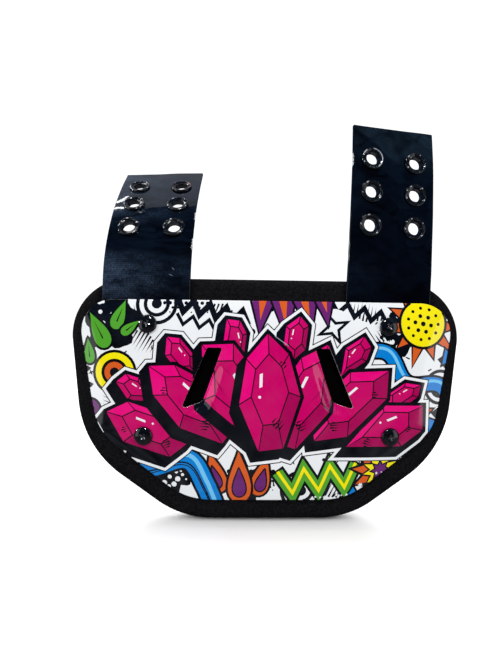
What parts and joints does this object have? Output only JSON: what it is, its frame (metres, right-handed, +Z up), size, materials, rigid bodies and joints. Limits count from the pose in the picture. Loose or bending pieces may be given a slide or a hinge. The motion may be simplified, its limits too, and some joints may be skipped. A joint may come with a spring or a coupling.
{
  "type": "tailbone protector",
  "caption": "Back plate for American football: printed plastic plate with slanted vent slots on a foam pad, hung from two coated straps with eyelets.",
  "frame": {"origin": "middle of the pad's flat back face, which lies on the wearer's back", "axes": "+X to the right of someone facing the plate, -Y out of the plate's front, +Z up towards the straps"},
  "size_m": [0.2868, 0.0766, 0.2927],
  "materials": {
    "foam": "matt black closed-cell foam with a fine grain",
    "shell": "glossy printed plastic, mostly magenta over white with black lines",
    "strap": "glossy navy-black coating on woven strap",
    "fastener": "glossy black enamel"
  },
  "bodies": {
    "root": {"foam_pad": "foam", "shell_plate": "shell", "strap_left": "strap", "strap_right": "strap", "eyelet_left_1": "fastener", "eyelet_left_2": "fastener", "eyelet_left_3": "fastener", "eyelet_left_4": "fastener", "eyelet_left_5": "fastener", "eyelet_left_6": "fastener", "eyelet_right_1": "fastener", "eyelet_right_2": "fastener", "eyelet_right_3": "fastener", "eyelet_right_4": "fastener", "eyelet_right_5": "fastener", "eyelet_right_6": "fastener", "rivet_upper_left": "fastener", "rivet_lower_left": "fastener", "rivet_upper_right": "fastener", "rivet_lower_right": "fastener"}
  },
  "joints": []
}
